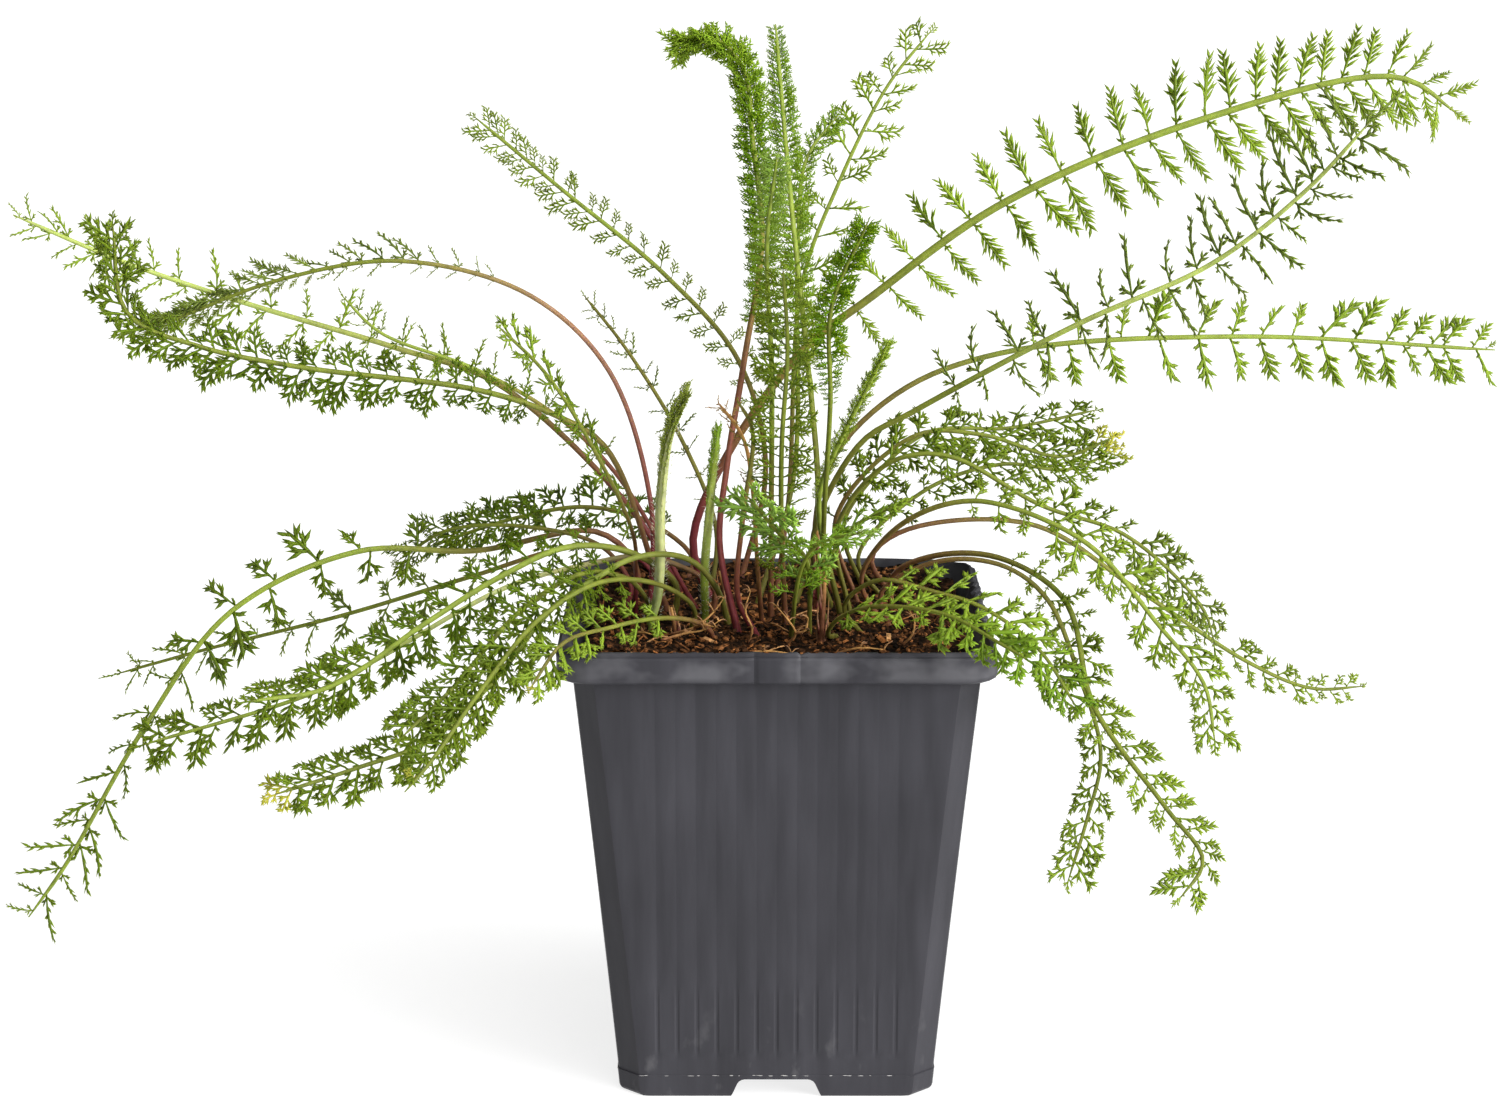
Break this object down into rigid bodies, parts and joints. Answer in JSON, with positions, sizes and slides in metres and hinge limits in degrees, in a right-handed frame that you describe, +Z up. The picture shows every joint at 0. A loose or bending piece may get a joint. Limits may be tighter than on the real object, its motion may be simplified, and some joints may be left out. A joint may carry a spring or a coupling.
{
  "type": "yarrow plant",
  "caption": "Young yarrow plant, a rosette of finely divided arching leaves, in a square dark grey plastic nursery pot filled with peat.",
  "frame": {"origin": "middle of the pot's footprint on the surface that it stands on", "axes": "+Z up; the pot's flat sides face X and Y; the widest leaves reach out along X; -Y is the front"},
  "size_m": [0.3291, 0.1466, 0.222],
  "materials": {
    "pot_plastic": "satin grey moulded plastic with faint upright ribs and scuffs",
    "peat": "coarse dark peat with fibres and bark crumbs",
    "leaf_green": "mid green leaf, slightly glossy",
    "leaf_dark": "dark green leaf",
    "leaf_bright": "bright green young leaf",
    "leaf_pale": "green leaf on a pale yellow-green stalk",
    "leaf_woolly": "whitish woolly young leaf",
    "leaf_dead": "dry brown leaf",
    "old_stalk": "dry brown stalk stub"
  },
  "bodies": {
    "root": {"pot": "pot_plastic", "soil": "peat", "frond_01": "leaf_pale", "frond_02": "leaf_dark", "frond_03": "leaf_green", "frond_04": "leaf_green", "frond_05": "leaf_green", "frond_06": "leaf_green", "frond_07": "leaf_green", "frond_08": "leaf_bright", "frond_09": "leaf_green", "frond_10": "leaf_bright", "frond_11": "leaf_pale", "frond_12": "leaf_dark", "frond_13": "leaf_green", "frond_14": "leaf_dark", "frond_15": "leaf_bright", "frond_16": "leaf_bright", "frond_17": "leaf_green", "frond_18": "leaf_green", "frond_19": "leaf_green", "frond_20": "leaf_pale", "frond_21": "leaf_green", "frond_22": "leaf_dark", "frond_23": "leaf_dark", "frond_24": "leaf_green", "frond_25": "leaf_dark", "frond_26": "leaf_green", "frond_27": "leaf_green", "frond_28": "leaf_green", "frond_29": "leaf_green", "frond_30": "leaf_green", "frond_31": "leaf_green", "frond_32": "leaf_bright", "frond_33": "leaf_dark", "frond_34": "leaf_pale", "frond_35": "leaf_green", "frond_36": "leaf_pale", "frond_37": "leaf_bright", "frond_38": "leaf_bright", "frond_39": "leaf_green", "frond_40": "leaf_dark", "frond_41": "leaf_pale", "frond_42": "leaf_dark", "dead_leaf": "leaf_dead", "young_leaf_1": "leaf_woolly", "young_leaf_2": "leaf_woolly", "stub_1": "old_stalk", "stub_2": "old_stalk", "stub_3": "old_stalk", "stub_4": "old_stalk"}
  },
  "joints": []
}
